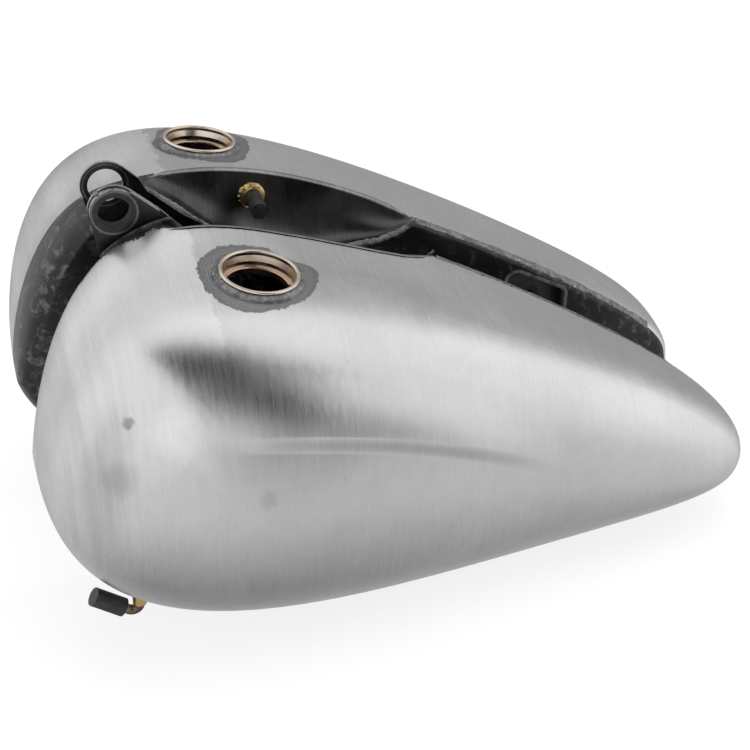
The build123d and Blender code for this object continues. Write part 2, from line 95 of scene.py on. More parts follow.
def wall_y(z):
    return TUNNEL_HALF - TUNNEL_LEAN * z


def skin_grid(stations=321, strip=9, quarter=61):
    """Points of the skin, [station along the tank, step round it]."""
    t = np.linspace(0, 1, stations)[:, None]
    up, out = np.array([0, 0, 1.0]), np.array([0, 1.0, 0])
    top = bezier([(x, 0, z) for x, z in TOP_LINE], t)
    bottom = bezier([(x, 0, z) for x, z in BOTTOM_LINE], t)
    centre = np.array([WALL_CENTRE[0], 0, WALL_CENTRE[1]])
    bulge, widest, corner = bezier(BULGE, t), bezier(WIDEST, t), bezier(CORNER, t)
    height = top - bottom
    shoulder = bulge * SHOULDER_REACH * out
    top_arm = shoulder + bezier(CROWN, t) * up
    bottom_arm = shoulder - bezier(BELLY, t) * up
    side = bottom + height * widest + bulge * out
    skin_top, skin_bottom = top + top_arm * corner, bottom + bottom_arm * corner
    patches = [
        ([centre + (top - centre) * WALL_SHARE, top, skin_top], strip),
        ([skin_top, top + top_arm, side + height * (1 - widest) * TOP_FULLNESS, side], quarter),
        ([side, side - height * widest * BOTTOM_FULLNESS,
          bottom + bottom_arm * (BELLY_REACH / SHOULDER_REACH), skin_bottom], quarter),
        ([skin_bottom, bottom, centre + (bottom - centre) * WALL_SHARE], strip),
    ]
    rows = []
    for points, steps in patches:
        skip = 1 if rows else 0
        rows += [bezier(points, s) for s in np.linspace(0, 1, steps)[skip:]]
    grid = np.stack(rows, axis=1)
    grid[..., 1] += wall_y(grid[..., 2])
    return grid


GRID = skin_grid()
ORIGIN_Z = -GRID[..., 2].min()


def to_frame(points):
    """From the outline's millimetres to the part's frame, in metres."""
    return (np.asarray(points, float) + [ORIGIN_X, 0, ORIGIN_Z]) * MM


def grid_normals(grid):
    along, around = np.gradient(grid, axis=0), np.gradient(grid, axis=1)
    normal = np.cross(around, along)
    size = np.linalg.norm(normal, axis=2, keepdims=True)
    normal = normal / np.maximum(size, 1e-12)
    normal[0], normal[-1] = (-1, 0, 0), (1, 0, 0)
    middle = grid.mean(axis=(0, 1))
    if ((grid - middle) * normal).sum() < 0:
        normal = -normal
        normal[0], normal[-1] = (-1, 0, 0), (1, 0, 0)
    return normal


SKIN = to_frame(GRID)
SKIN_NORMALS = grid_normals(SKIN)
TREE = KDTree(SKIN.shape[0] * SKIN.shape[1])
for i, point in enumerate(SKIN.reshape(-1, 3)):
    TREE.insert(point, i)
TREE.balance()


def on_skin(point, side=1):
    """The nearest spot of a tank's skin and its normal; side is 1 right, -1 left."""
    _, i, gap = TREE.find((point[0], side * point[1], point[2]))
    spot, normal = SKIN.reshape(-1, 3)[i], SKIN_NORMALS.reshape(-1, 3)[i]
    flip = np.array([1, side, 1.0])
    return spot * flip, normal * flip, gap


# ---------------------------------------------------------------- smooth shading of the pressings
NEAR_SKIN = 1.2 * MM
SKIN_FACING = 0.93
SHARP_FACING = 0.9


def shade_from_skin(name, side):
    """Gives a pressing's outside the skin's own normals, so that its reflections run true."""
    mesh = NODES[name].data
    mesh.shade_smooth()
    corner = np.array([c.vector for c in mesh.corner_normals])
    normals = corner.copy()
    spots = {}
    for polygon in mesh.polygons:
        for loop in polygon.loop_indices:
            v = mesh.loops[loop].vertex_index
            if v not in spots:
                spots[v] = on_skin(mesh.vertices[v].co, side)
            _, normal, gap = spots[v]
            if gap < NEAR_SKIN and np.dot(polygon.normal, normal) > SKIN_FACING:
                normals[loop] = normal
            elif np.dot(polygon.normal, corner[loop]) < SHARP_FACING:
                normals[loop] = polygon.normal
    mesh.normals_split_custom_set(normals.tolist())


for side, hand in ((1, "right"), (-1, "left")):
    shade_from_skin(hand + "_outer_shell", side)
    shade_from_skin(hand + "_inner_shell", side)


# ---------------------------------------------------------------- materials
class Shade:
    """A node material, built up by short calls."""

    def __init__(self, name):
        self.material = bpy.data.materials.new(name)
        self.material.use_nodes = True
        self.tree = self.material.node_tree
        self.tree.nodes.clear()
        self.output = self.tree.nodes.new("ShaderNodeOutputMaterial")
        self.surface = self.node("ShaderNodeBsdfPrincipled")
        self.tree.links.new(self.surface.outputs[0], self.output.inputs[0])
        self.place = self.node("ShaderNodeTexCoord").outputs["Object"]

    def node(self, kind, inputs=None, **settings):
        made = self.tree.nodes.new(kind)
        for key, value in settings.items():
            setattr(made, key, value)
        for key, value in (inputs or {}).items():
            self.feed(made.inputs[key], value)
        return made

    def feed(self, socket, value):
        if isinstance(value, bpy.types.NodeSocket):
            self.tree.links.new(value, socket)
        else:
            socket.default_value = value

    def math(self, operation, a, b=0.0, c=0.0):
        return self.node("ShaderNodeMath", {0: a, 1: b, 2: c}, operation=operation).outputs[0]

    def add(self, a, b):
        return self.math("ADD", a, b)

    def subtract(self, a, b):
        return self.math("SUBTRACT", a, b)

    def times(self, a, b):
        return self.math("MULTIPLY", a, b)

    def grey(self, value):
        """A colour of one value."""
        return self.node("ShaderNodeCombineColor", {0: value, 1: value, 2: value}).outputs[0]

    def stretch(self, scale, place=None):
        """Coordinates multiplied axis by axis."""
        inputs = {"Vector": place or self.place, "Scale": scale}
        return self.node("ShaderNodeMapping", inputs).outputs[0]

    def noise(self, scale, detail=2.0, rough=0.5, warp=0.0, place=None):
        """Noise, 0 to 1; scale is a number or one for each axis."""
        if isinstance(scale, tuple):
            place, scale = self.stretch(scale, place), 1.0
        inputs = {"Vector": place or self.place, "Scale": scale, "Detail": detail,
                  "Roughness": rough, "Distortion": warp}
        return self.node("ShaderNodeTexNoise", inputs).outputs["Fac"]

    def band(self, value, low, high, to_low=0.0, to_high=1.0, smooth=True):
        """Maps low..high to to_low..to_high, held at the ends."""
        inputs = {"Value": value, "From Min": low, "From Max": high, "To Min": to_low,
                  "To Max": to_high}
        kind = "SMOOTHSTEP" if smooth else "LINEAR"
        return self.node("ShaderNodeMapRange", inputs, interpolation_type=kind).outputs[0]

    def mix(self, share, a, b):
        """Mixes two colours or two numbers."""
        made = self.node("ShaderNodeMix", data_type="RGBA")
        self.feed(made.inputs["Factor"], share)
        for key, value in ((6, a), (7, b)):
            if isinstance(value, (int, float)):
                value = (value, value, value, 1)
            elif isinstance(value, tuple) and len(value) == 3:
                value = value + (1,)
            self.feed(made.inputs[key], value)
        return made.outputs[2]

    def bump(self, height, strength=1.0, distance=0.0002, under=None):
        inputs = {"Height": height, "Strength": strength, "Distance": distance}
        if under is not None:
            inputs["Normal"] = under
        return self.node("ShaderNodeBump", inputs).outputs[0]

    def finish(self, **inputs):
        for key, value in inputs.items():
            name = key.replace("_", " ").title().replace("Ior", "IOR")
            if isinstance(value, tuple) and len(value) == 3:
                value = value + (1,)
            self.feed(self.surface.inputs[name], value)
        return self.material


def sides(shade):
    """x, |y| and z; |y| works both tanks alike."""
    split = shade.node("ShaderNodeSeparateXYZ", {"Vector": shade.place})
    x, z = split.outputs["X"], split.outputs["Z"]
    return x, shade.math("ABSOLUTE", split.outputs["Y"]), z


def distance_to(shade, spot, place=None):
    """Distance from a point, in metres."""
    inputs = {0: place or shade.place, 1: tuple(spot)}
    return shade.node("ShaderNodeVectorMath", inputs, operation="DISTANCE").outputs["Value"]


def station(x):
    """A station's x, given in millimetres from the nose, in the part's frame."""
    return (x + ORIGIN_X) * MM


def level(z):
    """A height above the datum, in millimetres, in the part's frame."""
    return (z + ORIGIN_Z) * MM


# Marks on the left tank: where, how far they reach, and their tone against the steel's. Those below 1 are
# hand smudges; the one above 1 is a painted highlight
SMUDGES_AND_HIGHLIGHT = [
    ((station(60), -0.196, level(188)), 0.006, 0.55),
    ((station(49), -0.204, level(149)), 0.019, 0.8),
    ((station(153), -0.219, level(122)), 0.010, 0.86),
    ((station(97), -0.206, level(181)), 0.030, 1.16),
    ((station(168), -0.216, level(170)), 0.030, 0.9),
]
# Out from the middle plane, in metres
SIDE_POLISH_EDGE = 0.128
SCAR_EDGE = 0.0365
LEFT_DARK_EDGE = 0.029
RIGHT_DARK_EDGE = 0.083
# Stations and levels of the hand work, in millimetres
SIDE_POLISH_START = 291
# The nose's polished zone, which is also painted lighter as sheen
NOSE_POLISH_AND_SHEEN_END = 134
NOSE_POLISH_AND_SHEEN_LEVELS = (215, 245)
NOSE_ARCS = (45, 85)
CREASE_START = (142, 173)
SCAR_END = 160
SCAR_LEVELS = (110, 190)
# Round a neck's centre, in metres
NECK_PATCH_REACH = 0.0425
NECK_RINGS_EACH_METRE = 2600


def brush_lines(shade):
    """Fine lines round the girth."""
    fine = shade.noise((2600, 60, 60), 3, 0.65)
    coarse = shade.noise((520, 18, 18), 3, 0.6)
    return shade.add(shade.times(fine, 0.65), shade.times(coarse, 0.35))


def side_polish(shade, x, y, ragged):
    """1 where the side is polished, up to a line near the shoulder."""
    past_line = shade.subtract(y, SIDE_POLISH_EDGE)
    past_start = shade.subtract(x, station(SIDE_POLISH_START))
    corner = shade.math("SMOOTH_MIN", past_line, past_start, 0.02)
    inside = shade.band(shade.add(corner, shade.times(ragged, 0.3)), 0.0, 0.0012)
    return shade.times(shade.band(past_line, 0.01, 0.05, 1, 0), inside)


def nose_polish_and_sheen(shade, x, z, wander):
    """1 where the top of the nose is polished, up to a line before the neck; its colour is painted lighter
    there, as sheen.
    """
    edge = shade.subtract(station(NOSE_POLISH_AND_SHEEN_END), shade.add(x, wander))
    low, high = NOSE_POLISH_AND_SHEEN_LEVELS
    fade = shade.times(shade.band(edge, 0.035, 0.075, 1, 0), shade.band(z, level(low), level(high)))
    return shade.times(shade.band(edge, 0.0, 0.0015), fade)


def scratch_marks(shade):
    """1 along thin curled scratches, in two sizes."""
    marks = None
    for scale, keep_from in ((38, 0.52), (85, 0.5)):
        curl = shade.noise(scale, 1, 0.5, 2.2)
        thin = shade.band(shade.math("ABSOLUTE", shade.subtract(curl, 0.5)), 0.0, 0.005, 1, 0)
        kept = shade.band(shade.noise(scale * 0.6, 2), keep_from, keep_from + 0.1)
        thin = shade.times(thin, kept)
        marks = thin if marks is None else shade.math("MAXIMUM", marks, thin)
    return marks


def pressed_relief(shade, lines):
    """Relief of the steel: a soft crease along the side, shallow dents and the brush lines."""
    x, y, z = sides(shade)
    start, height = CREASE_START
    run = shade.subtract(x, station(start))
    drop = shade.add(shade.times(run, 0.19), shade.times(shade.times(run, run), 0.75))
    above = shade.subtract(z, shade.subtract(level(height), drop))
    crest = shade.math("MINIMUM", shade.band(above, 0.0, 0.045, 1, 0), shade.band(above, -0.014, 0.0))
    held = shade.times(shade.band(x, station(110), station(200)),
                       shade.band(x, station(300), station(400), 1, 0))
    crease = shade.times(crest, shade.times(held, shade.band(y, 0.12, 0.16)))
    normal = shade.bump(crease, 1.0, 0.004)
    normal = shade.bump(shade.noise(13, 2, 0.4), 0.5, 0.0012, normal)
    return shade.bump(lines, 0.3, 0.00004, normal)


def brushed_steel(name, base=0.62, rough=0.25, dark_inside=None):
    """Hand-brushed bare steel: fine lines round the girth, and patches ground by hand.

    dark_inside is how far out from the middle plane the steel stays dark, in metres."""
    shade = Shade(name)
    x, y, z = sides(shade)
    lines = brush_lines(shade)
    cloud = shade.noise(9, 3, 0.55, 0.6)
    blotch = shade.noise(34, 4, 0.6, 0.8)
    nibble = shade.noise((900, 90, 200), 2, 0.6)
    ragged = shade.band(nibble, 0.3, 0.7, -0.002, 0.002, False)

    tone = shade.band(lines, 0.3, 0.7, 0.9, 1.07, False)
    tone = shade.times(tone, shade.band(cloud, 0.3, 0.7, 0.95, 1.04))
    tone = shade.times(tone, shade.band(blotch, 0.3, 0.75, 1.02, 0.97))
    tone = shade.times(tone, shade.band(side_polish(shade, x, y, ragged), 0, 1, 1.0, 1.06))
    wander = shade.add(shade.band(blotch, 0.3, 0.7, -0.003, 0.003), ragged)
    nose = nose_polish_and_sheen(shade, x, z, wander)
    # Painted sheen: the polished nose is made lighter in colour, standing in for its brighter reflection
    tone = shade.times(tone, shade.band(nose, 0, 1, 1.0, 1.22))
    arcs = shade.band(shade.noise((95, 5, 5), 3, 0.55), 0.35, 0.65, 0.93, 1.05)
    first, last = NOSE_ARCS
    on_nose = shade.band(x, station(first), station(last), 1, 0)
    tone = shade.mix(on_nose, tone, shade.times(tone, arcs))
    tone = shade.times(tone, shade.band(scratch_marks(shade), 0, 1, 1.0, 0.85))
    # Smudges darken the steel; the one light entry is a painted highlight
    for spot, reach, share in SMUDGES_AND_HIGHLIGHT:
        near = shade.add(distance_to(shade, spot), shade.band(blotch, 0.3, 0.7, -0.003, 0.003, False))
        near = shade.add(near, shade.times(ragged, 0.6))
        tone = shade.times(tone, shade.band(near, reach * 0.3, reach, share, 1.0))
    colour = shade.grey(shade.times(tone, base))
    roughness = shade.band(lines, 0.25, 0.75, rough - 0.05, rough + 0.07, False)
    roughness = shade.add(roughness, shade.band(cloud, 0.3, 0.7, -0.03, 0.04))
    roughness = shade.add(roughness, shade.times(nose, 0.08))
    normal = pressed_relief(shade, lines)

    # Round the neck the weld is ground back in swirls
    mirrored = shade.node("ShaderNodeCombineXYZ", {0: x, 1: y, 2: z}).outputs[0]
    edge = distance_to(shade, MOUNTS["right_filler"]["pos_m"], mirrored)
    edge = shade.add(edge, shade.band(shade.noise(14, 1, 0.4, 0.5), 0.3, 0.7, -0.005, 0.005))
    edge = shade.add(edge, shade.band(shade.noise(90, 3, 0.6, 0.9), 0.3, 0.7, -0.0012, 0.0012))
    edge = shade.add(edge, shade.times(ragged, 0.35))
    patch = shade.band(edge, NECK_PATCH_REACH, NECK_PATCH_REACH + 0.0007, 1.0, 0.0)
    ripple = shade.times(shade.math("SINE", shade.times(edge, NECK_RINGS_EACH_METRE)), 0.5)
    rings = shade.add(ripple, shade.noise((300, 300, 300), 3, 0.6))
    ground = shade.mix(shade.band(rings, 0.1, 0.9), (0.20, 0.205, 0.21), (0.30, 0.305, 0.31))
    ground = shade.mix(shade.band(edge, 0.037, 0.042, 0, 0.5), ground, (0.17, 0.18, 0.19))
    colour = shade.mix(patch, colour, ground)
    roughness = shade.mix(patch, roughness, 0.42)
    normal = shade.bump(shade.times(rings, patch), 0.2, 0.0002, normal)

    # Along the front mounts the skin is ground dark, down to the seam
    inner = shade.add(y, shade.band(blotch, 0.25, 0.75, -0.009, 0.009, False))
    inner = shade.add(inner, shade.times(ragged, 1.6))
    low, high = SCAR_LEVELS
    held = shade.times(shade.band(x, station(SCAR_END), station(SCAR_END + 10), 1, 0),
                       shade.band(z, level(low), level(high)))
    scar = shade.times(shade.band(inner, SCAR_EDGE, SCAR_EDGE + 0.001, 1, 0), held)
    burnt = shade.mix(shade.band(blotch, 0.4, 0.6), (0.09, 0.09, 0.09), (0.22, 0.22, 0.22))
    colour = shade.mix(scar, colour, burnt)
    if dark_inside:
        edge = shade.add(y, shade.band(blotch, 0.25, 0.75, -0.004, 0.004, False))
        edge = shade.add(edge, shade.times(ragged, 1.2))
        dark = shade.band(edge, dark_inside, dark_inside + 0.0015, 1, 0)
        mottle = shade.noise(70, 5, 0.7, 0.9)
        scale = shade.mix(shade.band(mottle, 0.5, 0.72), (0.045, 0.045, 0.046), (0.17, 0.17, 0.17))
        colour = shade.mix(dark, colour, scale)
        roughness = shade.mix(dark, roughness, 0.34)
    tangent = shade.node("ShaderNodeTangent", direction_type="RADIAL", axis="X").outputs[0]
    return shade.finish(base_color=colour, metallic=1.0, roughness=roughness, normal=normal,
                        anisotropic=0.5, tangent=tangent)


def dark_steel(name, base=0.09, rough=0.42, streak=(900, 60, 30)):
    """Steel left dark from pressing and heat, with drawn streaks."""
    shade = Shade(name)
    lines = shade.noise(streak, 3, 0.6)
    cloud = shade.noise(22, 4, 0.6, 0.6)
    tone = shade.times(shade.band(lines, 0.25, 0.75, 0.8, 1.25, False),
                       shade.band(cloud, 0.3, 0.7, 0.75, 1.3))
    colour = shade.grey(shade.times(tone, base))
    roughness = shade.band(cloud, 0.3, 0.7, rough - 0.08, rough + 0.1)
    normal = shade.bump(lines, 0.4, 0.00008)
    return shade.finish(base_color=colour, metallic=1.0, roughness=roughness, normal=normal)


# Round the front eyes' axis, in metres: the bore's wall, inside which the bore is painted black as shade,
# and the ring on the sleeve's end, painted lighter as a highlight on its chamfer
EYE_SHADE_WALL = 0.0128
EYE_HIGHLIGHT_RING = 0.0174


def mount_steel(name, base=0.055, edge=0.4):
    """Flame-cut plate, dark on its faces. Its edges and chamfers are lighter, partly from wear and partly
    as a painted highlight picked by which way a face turns; inside the bore it is painted black and dull,
    as shade.
    """
    shade = Shade(name)
    x, _, z = sides(shade)
    geometry = shade.node("ShaderNodeNewGeometry")
    facing = shade.node("ShaderNodeSeparateXYZ", {"Vector": geometry.outputs["True Normal"]})
    turned = shade.math("ABSOLUTE", facing.outputs["Y"])
    cloud = shade.noise(60, 4, 0.65, 0.6)
    grain = shade.noise(500, 3, 0.6)
    # Faces turned away from the plate's sides are made lighter: wear, and a painted edge highlight
    edge_facing_and_rubbing = shade.add(turned, shade.band(cloud, 0.3, 0.7, -0.3, 0.3, False))
    edge_highlight_and_wear = shade.band(edge_facing_and_rubbing, 0.35, 0.6, 1, 0)
    eye = MOUNTS["left_front_sleeve"]["pos_m"]
    across_eye = shade.node("ShaderNodeCombineXYZ", {0: x, 1: 0.0, 2: z}).outputs[0]
    reach = distance_to(shade, (eye[0], 0.0, eye[2]), across_eye)
    # Inside the bore the colour is painted black and dull: painted shade
    outside_bore_shade = shade.band(reach, EYE_SHADE_WALL - 0.0001, EYE_SHADE_WALL + 0.0001, 0, 1)
    value = shade.mix(edge_highlight_and_wear, base, shade.band(grain, 0.3, 0.7, edge * 0.5, edge * 1.3))
    # Painted highlight: a lighter ring on the sleeve's end, where its chamfer is
    off_highlight_ring = shade.math("ABSOLUTE", shade.subtract(reach, EYE_HIGHLIGHT_RING))
    value = shade.mix(shade.band(off_highlight_ring, 0.0, 0.0014, 0.55, 0), value, edge * 0.7)
    value = shade.mix(outside_bore_shade, 0.02, value)
    value = shade.node("ShaderNodeMix", {0: 1.0, 6: value, 7: shade.band(cloud, 0.3, 0.7, 0.75, 1.25)},
                       data_type="RGBA", blend_type="MULTIPLY").outputs[2]
    normal = shade.bump(grain, 0.5, 0.0001)
    roughness = shade.mix(outside_bore_shade, 0.9, shade.band(cloud, 0.3, 0.7, 0.3, 0.48))
    return shade.finish(base_color=value, metallic=outside_bore_shade, normal=normal, roughness=roughness)


def weld_metal(name, dark=0.13, light=0.28):
    """A rough bead: dark scale with bright ground spots."""
    shade = Shade(name)
    lumps = shade.noise(260, 4, 0.65, 0.4)
    cloud = shade.noise(60, 4, 0.6, 0.8)
    spots = shade.noise(480, 2, 0.5)
    share = shade.add(shade.times(lumps, 0.5), shade.times(cloud, 0.5))
    colour = shade.mix(shade.band(share, 0.42, 0.6), (dark, dark, dark * 1.02), (light, light, light))
    colour = shade.mix(shade.band(spots, 0.68, 0.74), colour, (0.75, 0.75, 0.74))
    roughness = shade.band(cloud, 0.35, 0.65, 0.3, 0.55)
    normal = shade.bump(lumps, 0.8, 0.0006)
    return shade.finish(base_color=colour, metallic=0.9, roughness=roughness, normal=normal)


def warm_plating(name, base, tint, rough=0.22):
    """Turned and washed with a warm plating: smears and darker spots."""
    shade = Shade(name)
    cloud = shade.noise(45, 4, 0.6, 0.8)
    grain = shade.noise(900, 3, 0.6)
    colour = shade.mix(shade.band(cloud, 0.35, 0.65), base, tint)
    colour = shade.mix(shade.band(grain, 0.6, 0.8, 0, 0.5), colour, (0.25, 0.2, 0.16))
    roughness = shade.band(cloud, 0.3, 0.7, rough - 0.06, rough + 0.12)
    normal = shade.bump(grain, 0.25, 0.00006)
    return shade.finish(base_color=colour, metallic=1.0, roughness=roughness, normal=normal)


def vinyl(name):
    """Black dipped vinyl: satin, a little dusty, with a faint grain."""
    shade = Shade(name)
    dust = shade.noise(160, 4, 0.65)
    grain = shade.noise(1400, 2, 0.5)
    colour = shade.mix(shade.band(dust, 0.4, 0.75), (0.012, 0.012, 0.012), (0.035, 0.035, 0.036))
    roughness = shade.band(dust, 0.3, 0.7, 0.42, 0.6)
    normal = shade.bump(grain, 0.25, 0.00005)
    return shade.finish(base_color=colour, roughness=roughness, normal=normal)


STEEL = brushed_steel("brushed_steel")
LEFT_INNER_STEEL = brushed_steel("left_inner_steel", dark_inside=LEFT_DARK_EDGE)
RIGHT_INNER_STEEL = brushed_steel("right_inner_steel", dark_inside=RIGHT_DARK_EDGE)
RECESS_STEEL = dark_steel("recess_steel", base=0.075, rough=0.3)
MOUNT_STEEL = mount_steel("mount_steel")
POCKET_STEEL = dark_steel("pocket_steel", base=0.08, rough=0.36, streak=(300, 300, 300))
PIPE = warm_plating("pipe", (0.10, 0.08, 0.065), (0.30, 0.21, 0.14), 0.3)
WELD = weld_metal("weld_metal")
GROUND_WELD = weld_metal("ground_weld", dark=0.14, light=0.3)
NECK = warm_plating("neck_plating", (0.60, 0.54, 0.48), (0.70, 0.60, 0.50))
COPPER = warm_plating("copper_wash", (0.44, 0.30, 0.22), (0.60, 0.45, 0.35), 0.28)
BRASS = warm_plating("brass", (0.50, 0.34, 0.14), (0.66, 0.48, 0.22), 0.3)
VINYL = vinyl("black_vinyl")

FINISH = {
    "outer_shell": STEEL, "inner_shell": LEFT_INNER_STEEL, "dash_recess": RECESS_STEEL,
    "top_seam_weld": WELD, "bottom_seam_weld": WELD, "filler_neck": NECK, "cam_ledge": COPPER,
    "neck_weld": GROUND_WELD, "vent_fitting": BRASS, "vent_cap": VINYL, "crossover_pipe": PIPE,
    "crossover_braze": BRASS, "crossover_cap": VINYL, "rear_pocket": POCKET_STEEL,
    "rear_boss": MOUNT_STEEL, "pocket_weld": WELD, "mount_bracket": MOUNT_STEEL,
    "mount_sleeve": MOUNT_STEEL, "sleeve_tacks": WELD, "mount_weld": GROUND_WELD,
    "tap_boss": NECK, "mount_tab": MOUNT_STEEL,
}
for name, node in NODES.items():
    node.data.materials.clear()
    node.data.materials.append(FINISH[name.split("_", 1)[1]])
NODES["right_inner_shell"].data.materials[0] = RIGHT_INNER_STEEL


# ---------------------------------------------------------------- weld beads
def new_piece(name, body, grid, material):
    """A piece from a grid of points, smooth, riding on a body."""
    rows, columns = grid.shape[:2]
    faces = []
    for i in range(rows - 1):
        for j in range(columns - 1):
            corner = i * columns + j
            faces.append((corner, corner + 1, corner + columns + 1, corner + columns))
    mesh = bpy.data.meshes.new(name)
    mesh.from_pydata(grid.reshape(-1, 3).tolist(), [], faces)
    mesh.shade_smooth()
    mesh.materials.append(material)
    piece = bpy.data.objects.new(name, mesh)
    bpy.context.scene.collection.objects.link(piece)
    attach(piece, body)
    return piece


def resample(points, step):
    """Points spaced evenly along a line, and their distances from its start."""
    points = np.asarray(points, float)
    gaps = np.linalg.norm(np.diff(points, axis=0), axis=1)
    length = np.concatenate([[0], np.cumsum(gaps)])
    at = np.linspace(0, length[-1], int(length[-1] / step) + 1)
    return np.stack([np.interp(at, length, points[:, k]) for k in range(3)], axis=1), at


def stretched(values, count):
    """Rows of values spread evenly over another number of rows."""
    old, new = np.linspace(0, 1, len(values)), np.linspace(0, 1, count)
    return np.stack([np.interp(new, old, values[:, k]) for k in range(3)], axis=1)


def unit(vectors):
    return vectors / np.linalg.norm(vectors, axis=1, keepdims=True)


BEAD_STEP = 0.4 * MM
BEAD_POINTS_ACROSS = 15
BEAD_WANDER = 9 * MM
BEAD_GROUND_TO = 0.92
# How deep an added piece's edges lie in the skin
SINK = 0.25 * MM


def bead_grid(line, outwards, width, height, seed, pitch=2.3 * MM):
    """A weld bead laid along a line: overlapping ripples, some ground away."""
    rng = np.random.default_rng(seed)
    spine, at = resample(line, BEAD_STEP)
    outwards = unit(stretched(outwards, len(spine)))
    across = np.cross(unit(np.gradient(spine, axis=0)), outwards)
    share = np.linspace(-1, 1, BEAD_POINTS_ACROSS)
    knots = rng.normal(0, 1, (int(at[-1] / BEAD_WANDER) + 3, 3))
    places = np.linspace(0, at[-1], len(knots))
    slow = np.stack([np.interp(at, places, knots[:, k]) for k in range(3)], axis=1)
    reach = width / 2 * (1 + 0.13 * slow[:, 0])
    phase = at[:, None] / pitch + 0.45 * share[None, :] ** 2 + 0.25 * slow[:, 1:2]
    ripple = (phase % 1.0) ** 1.5
    crown = np.sqrt(np.clip(1 - share ** 2, 0, 1))[None, :]
    rise = height * crown * (0.62 + 0.38 * ripple + 0.12 * slow[:, 2:3])
    grit = rng.normal(0, 0.03 * MM, ripple.shape) * crown
    rise = np.minimum(rise, height * BEAD_GROUND_TO) + grit - SINK
    wobble = 0.25 * MM * np.sin(at / (1.1 * MM))[:, None]
    side = share[None, :] * reach[:, None] + wobble * np.abs(share)[None, :]
    return spine[:, None, :] + across[:, None, :] * side[..., None] + outwards[:, None, :] * rise[..., None]


def skin_line(row, start, stop):
    """A run of the skin between two stations along one of its lengthwise lines."""
    x = SKIN[:, row, 0]
    keep = (x > station(start)) & (x < station(stop))
    return SKIN[keep, row], SKIN_NORMALS[keep, row]


def floor_line():
    """Where the dash recess's floor meets the tunnel wall, from its front round to the seam."""
    spots = [(110, 258), (128, 243), (147, 226), (162, 212.5), (175, 203.5), (194, 194), (215, 185.5),
             (240, 180), (275, 178.5), (300, 180), (316, 185), (325, 189.5), (331, 195)]
    points = to_frame([(x, wall_y(z), z) for x, z in spots])
    return points, np.tile(np.array([0, -0.8, 0.6]), (len(points), 1))


def lip_line():
    """The dash recess's lip, along the skin."""
    spots = [(112, 45, 262), (128, 46, 259), (150, 48, 256), (175, 51, 250), (205, 55, 242),
             (240, 56.5, 231), (275, 55, 219), (300, 50.5, 208), (316, 43, 201), (328, 34, 195.5)]
    line, _ = resample(to_frame(spots), 2 * MM)
    found = [on_skin(point) for point in line]
    normals = np.array([normal for _, normal, _ in found])
    points = [point - np.dot(point - spot, normal) * normal
              for point, (spot, normal, _) in zip(line, found)]
    return np.array(points) - normals * 0.3 * MM, normals + np.array([0, -0.5, 0])


TAPERED_SHARE = 1 / 14


def ridge_grid(line, outwards, width, height):
    """A plain rounded edge along a line."""
    spine, _ = resample(line, 1.5 * MM)
    share = np.linspace(0, 1, len(spine))
    outwards = unit(stretched(outwards, len(spine)))
    for _ in range(6):
        spine[1:-1] = (spine[:-2] + 2 * spine[1:-1] + spine[2:]) / 4
    across = np.cross(unit(np.gradient(spine, axis=0)), outwards)
    turn = np.linspace(0, math.pi, 11)
    taper = np.clip(np.minimum(share, 1 - share) / TAPERED_SHARE, 0.05, 1)[:, None]
    side = -np.cos(turn)[None, :] * width / 2 * taper
    rise = (np.sin(turn)[None, :] * height - SINK) * taper
    return spine[:, None, :] + across[:, None, :] * side[..., None] + outwards[:, None, :] * rise[..., None]


def braze_line(hand, side):
    """The vent's braze: a heavy C run round the flange, set a little low and to the front."""
    low, high = (np.array(corner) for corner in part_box(hand + "_vent_fitting"))
    middle = (low + high) / 2
    root = (high[1] if side > 0 else -low[1]) - 4 * MM
    turn = np.radians(np.linspace(165, 410, 90))
    ring = (high[0] - low[0]) / 2 - 0.6 * MM
    level_y = np.full(len(turn), root - 0.6 * MM)
    line = np.stack([middle[0] - 1.0 * MM + ring * np.sin(turn), level_y,
                     middle[2] - 1.0 * MM + ring * np.cos(turn)], axis=1)
    outwards = np.stack([0.5 * np.sin(turn), -np.ones(len(turn)), 0.5 * np.cos(turn)], axis=1)
    return line, outwards


LIP_STEEL = dark_steel("lip_steel", base=0.22, rough=0.26, streak=(500, 60, 60))
# The seams' lines are those of the skin's grid that lie this many steps from its two edges
TOP_SEAM_ROW = 4
BOTTOM_SEAM_ROW = -5
SEAM_REAR = 556
# Each run: its name, its line, its width and height in millimetres, the CAD node it stands for
RUNS = [("top_seam", skin_line(TOP_SEAM_ROW, 328, SEAM_REAR), 7.0, 1.5, "top_seam_weld"),
        ("bottom_seam", skin_line(BOTTOM_SEAM_ROW, 218, SEAM_REAR), 6.5, 1.3, "bottom_seam_weld"),
        ("recess_seam", floor_line(), 5.0, 1.4, None)]
for side, hand in ((1, "right"), (-1, "left")):
    flip = np.array([1, side, 1.0])
    # The right tank's columns are turned round, so that all faces look out
    step = -1 if side > 0 else 1
    body = hand + "_tank"
    line, outwards = lip_line()
    grid = ridge_grid(line * flip, outwards * flip, 5.0 * MM, 1.1 * MM)
    new_piece(hand + "_recess_lip", body, grid[:, ::step], LIP_STEEL)
    line, outwards = braze_line(hand, side)
    grid = bead_grid(line * flip, outwards * flip, 5.2 * MM, 2.6 * MM, 40 + side, 4.1 * MM)
    new_piece(hand + "_vent_braze", body, grid[:, ::step], BRASS)
    for k, (name, (line, outwards), width, height, stands_for) in enumerate(RUNS):
        grid = bead_grid(line * flip, outwards * flip, width * MM, height * MM, 10 * k + side + 5)
        bead = new_piece(hand + "_" + name + "_bead", body, grid[:, ::step], WELD)
        if stands_for:
            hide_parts(hand + "_" + stands_for)


